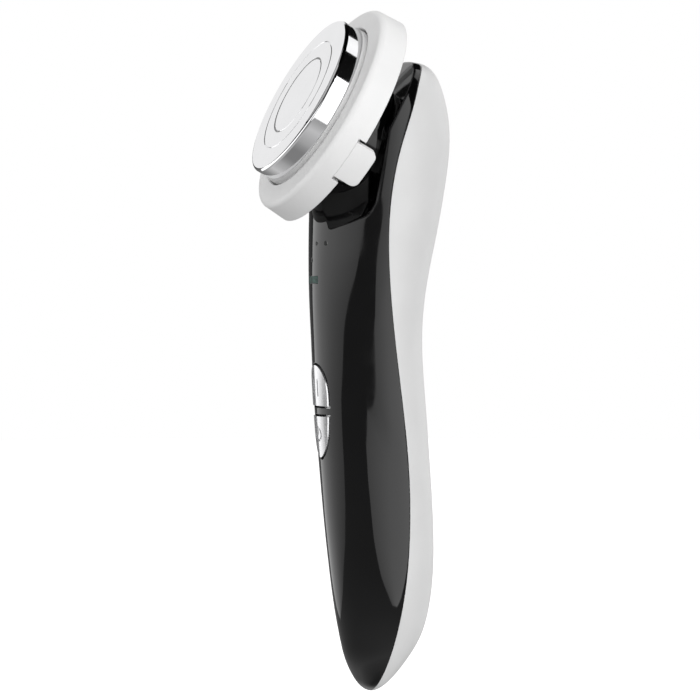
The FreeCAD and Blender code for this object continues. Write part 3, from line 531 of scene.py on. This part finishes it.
# soft lamps: azimuth and elevation in degrees, distance, size, power in watts
LAMPS = {
    "key_light": (95.0, 8.0, 0.9, 0.5, 3.4),
    "fill_light": (-20.0, 20.0, 1.0, 0.7, 0.4),
    "back_light": (205.0, 10.0, 1.0, 0.7, 1.4),
}


def stage_mesh(name, mesh, material):
    part = bpy.data.objects.new(name, mesh)
    part.data.materials.append(material)
    bpy.context.scene.collection.objects.link(part)
    return part


def emission(name, level_layer=None):
    """Glowing material and its shader; level_layer names a mesh layer that sets its strength."""
    material = bpy.data.materials.new(name)
    material.use_nodes = True
    tree = material.node_tree
    tree.nodes.remove(tree.nodes["Principled BSDF"])
    glow = tree.nodes.new("ShaderNodeEmission")
    glow.inputs["Strength"].default_value = 1.0
    if level_layer is not None:
        level = tree.nodes.new("ShaderNodeAttribute")
        level.attribute_name = level_layer
        tree.links.new(level.outputs["Fac"], glow.inputs["Strength"])
    tree.links.new(glow.outputs["Emission"], tree.nodes["Material Output"].inputs["Surface"])
    return material, glow


def only_in_reflections(part):
    part.visible_camera = False
    part.visible_diffuse = False
    part.visible_shadow = False
    part.visible_transmission = False


def make_card(name, rows, levels):
    """Light card on a sphere round the part."""
    left, middle, right, kept = levels
    bm = bmesh.new()
    grid = []
    brightness = []
    for (az_left, el_left), (az_right, el_right) in rows:
        line = []
        for i in range(CARD_COLUMNS + 1):
            t = i / CARD_COLUMNS
            way = direction(az_left + (az_right - az_left) * t, el_left + (el_right - el_left) * t)
            line.append(bm.verts.new(CARD_CENTRE + way * CARD_RADIUS))
            down = len(grid) / (len(rows) - 1)
            across = float(np.interp(t, (0.0, 0.5, 1.0), (left, middle, right)))
            brightness.append(across * (1 - down + down * kept))
        grid.append(line)
    for upper, lower in zip(grid, grid[1:]):
        for i in range(CARD_COLUMNS):
            bm.faces.new((upper[i], upper[i + 1], lower[i + 1], lower[i]))
    mesh = bpy.data.meshes.new(name)
    bm.to_mesh(mesh)
    bm.free()
    mesh.attributes.new("brightness", "FLOAT", "POINT").data.foreach_set("value", brightness)
    only_in_reflections(stage_mesh(name, mesh, emission(name, "brightness")[0]))


def sphere_mesh(name, radius, rings):
    bm = bmesh.new()
    bmesh.ops.create_uvsphere(bm, u_segments=48, v_segments=rings, radius=radius)
    mesh = bpy.data.meshes.new(name)
    bm.to_mesh(mesh)
    bm.free()
    return mesh


def make_dome():
    """Dim surround seen only in reflections: dark above, a grey floor glow below."""
    material, glow = emission("dome")
    place = node(material, "TexCoord")
    axes = node(material, "SeparateXYZ")
    height = node(material, "MapRange")
    height.inputs["From Min"].default_value = -DOME_RADIUS
    height.inputs["From Max"].default_value = DOME_RADIUS
    link(material, place.outputs["Object"], axes.inputs["Vector"])
    link(material, axes.outputs["Z"], height.inputs["Value"])
    ramp = node(material, "ValToRGB")
    link(material, height.outputs["Result"], ramp.inputs["Fac"])
    link(material, ramp.outputs["Color"], glow.inputs["Color"])
    elements = ramp.color_ramp.elements
    for i, (position, level) in enumerate(DOME_LEVELS):
        stop = elements[i] if i < 2 else elements.new(position)
        stop.position = position
        stop.color = (level, level, level, 1.0)
    dome = stage_mesh("dome", sphere_mesh("dome", DOME_RADIUS, 32), material)
    dome.location = CARD_CENTRE
    only_in_reflections(dome)


def make_backdrop():
    """White sweep round the part."""
    mesh = sphere_mesh("backdrop", BACKDROP_RADIUS, 24)
    backdrop = stage_mesh("backdrop", mesh, emission("backdrop")[0])
    backdrop.visible_diffuse = False
    backdrop.visible_glossy = False
    backdrop.visible_shadow = False


def make_floor():
    """Plain pale floor under the part."""
    bm = bmesh.new()
    bmesh.ops.create_circle(bm, cap_ends=True, segments=96, radius=FLOOR_RADIUS)
    mesh = bpy.data.meshes.new("floor")
    bm.to_mesh(mesh)
    bm.free()
    pale = bpy.data.materials.new("pale_floor")
    pale.use_nodes = True
    shader = pale.node_tree.nodes["Principled BSDF"]
    shader.inputs["Base Color"].default_value = (0.8, 0.8, 0.8, 1.0)
    shader.inputs["Roughness"].default_value = 0.9
    shader.inputs["Emission Color"].default_value = (1.0, 1.0, 1.0, 1.0)
    shader.inputs["Emission Strength"].default_value = 0.6
    floor = stage_mesh("floor", mesh, pale)
    floor.location = (0.0, 0.0, CAD_LOW.z - FLOOR_DROP)
    floor.visible_glossy = False
    floor.visible_diffuse = False


def area_light(name, azimuth, elevation, distance, size, power):
    data = bpy.data.lights.new(name, "AREA")
    data.shape = "DISK"
    data.size = size
    data.energy = power
    light = bpy.data.objects.new(name, data)
    way = direction(azimuth, elevation)
    light.location = CENTRE + way * distance
    light.rotation_mode = "QUATERNION"
    light.rotation_quaternion = way.to_track_quat("Z", "Y")
    light.visible_glossy = False
    light.visible_camera = False
    bpy.context.scene.collection.objects.link(light)


def make_sky():
    """Soft light from all round for matte surfaces, brighter above than below."""
    world = bpy.data.worlds.new("studio")
    bpy.context.scene.world = world
    world.use_nodes = True
    tree = world.node_tree
    place = tree.nodes.new("ShaderNodeTexCoord")
    axes = tree.nodes.new("ShaderNodeSeparateXYZ")
    sky = tree.nodes.new("ShaderNodeMapRange")
    sky.inputs["From Min"].default_value = -SKY_SPAN
    sky.inputs["From Max"].default_value = SKY_SPAN
    sky.inputs["To Min"].default_value = SKY_LOW
    sky.inputs["To Max"].default_value = SKY_HIGH
    tree.links.new(place.outputs["Generated"], axes.inputs["Vector"])
    tree.links.new(axes.outputs["Z"], sky.inputs["Value"])
    tree.links.new(sky.outputs["Result"], tree.nodes["Background"].inputs["Strength"])
    tree.nodes["Background"].inputs["Color"].default_value = (1.0, 1.0, 1.0, 1.0)
    world.cycles_visibility.glossy = False


for card_name, (card_rows, card_levels) in CARDS.items():
    make_card(card_name, card_rows, card_levels)
make_dome()
make_backdrop()
make_floor()
make_sky()
for lamp_name, lamp_setting in LAMPS.items():
    area_light(lamp_name, *lamp_setting)
bpy.context.scene.view_settings.view_transform = "Standard"
bpy.context.scene.view_settings.look = "None"
